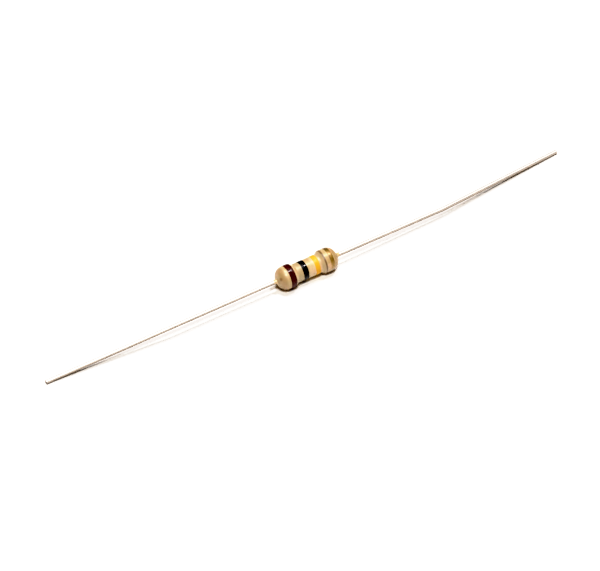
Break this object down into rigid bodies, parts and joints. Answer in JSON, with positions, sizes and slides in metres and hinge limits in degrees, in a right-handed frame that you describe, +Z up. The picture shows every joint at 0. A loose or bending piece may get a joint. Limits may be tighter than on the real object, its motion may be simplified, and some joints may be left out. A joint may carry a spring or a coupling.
{
  "type": "axial resistor",
  "caption": "Axial carbon film resistor: a lacquered dog-bone body with painted bands that code its value, and a tinned wire lead out of each end to solder into a circuit.",
  "frame": {"origin": "on the surface that the resistor lies on, under the middle of its body", "axes": "+X along the body's axis towards the gold band, +Z up from the surface"},
  "size_m": [0.0561, 0.003, 0.0023],
  "materials": {
    "ceramic": "matte",
    "carbon": "satin",
    "cap_steel": "satin",
    "tinned_wire": "gloss",
    "tan_lacquer": "gloss",
    "brown_paint": "gloss",
    "black_paint": "gloss",
    "yellow_paint": "gloss",
    "gold_paint": "gloss"
  },
  "bodies": {
    "root": {"ceramic_core": "ceramic", "carbon_film": "carbon", "end_cap_left": "cap_steel", "end_cap_right": "cap_steel", "lead_left": "tinned_wire", "lead_right": "tinned_wire", "coating": "tan_lacquer", "band_brown": "brown_paint", "band_black": "black_paint", "band_yellow": "yellow_paint", "band_gold": "gold_paint"}
  },
  "joints": []
}
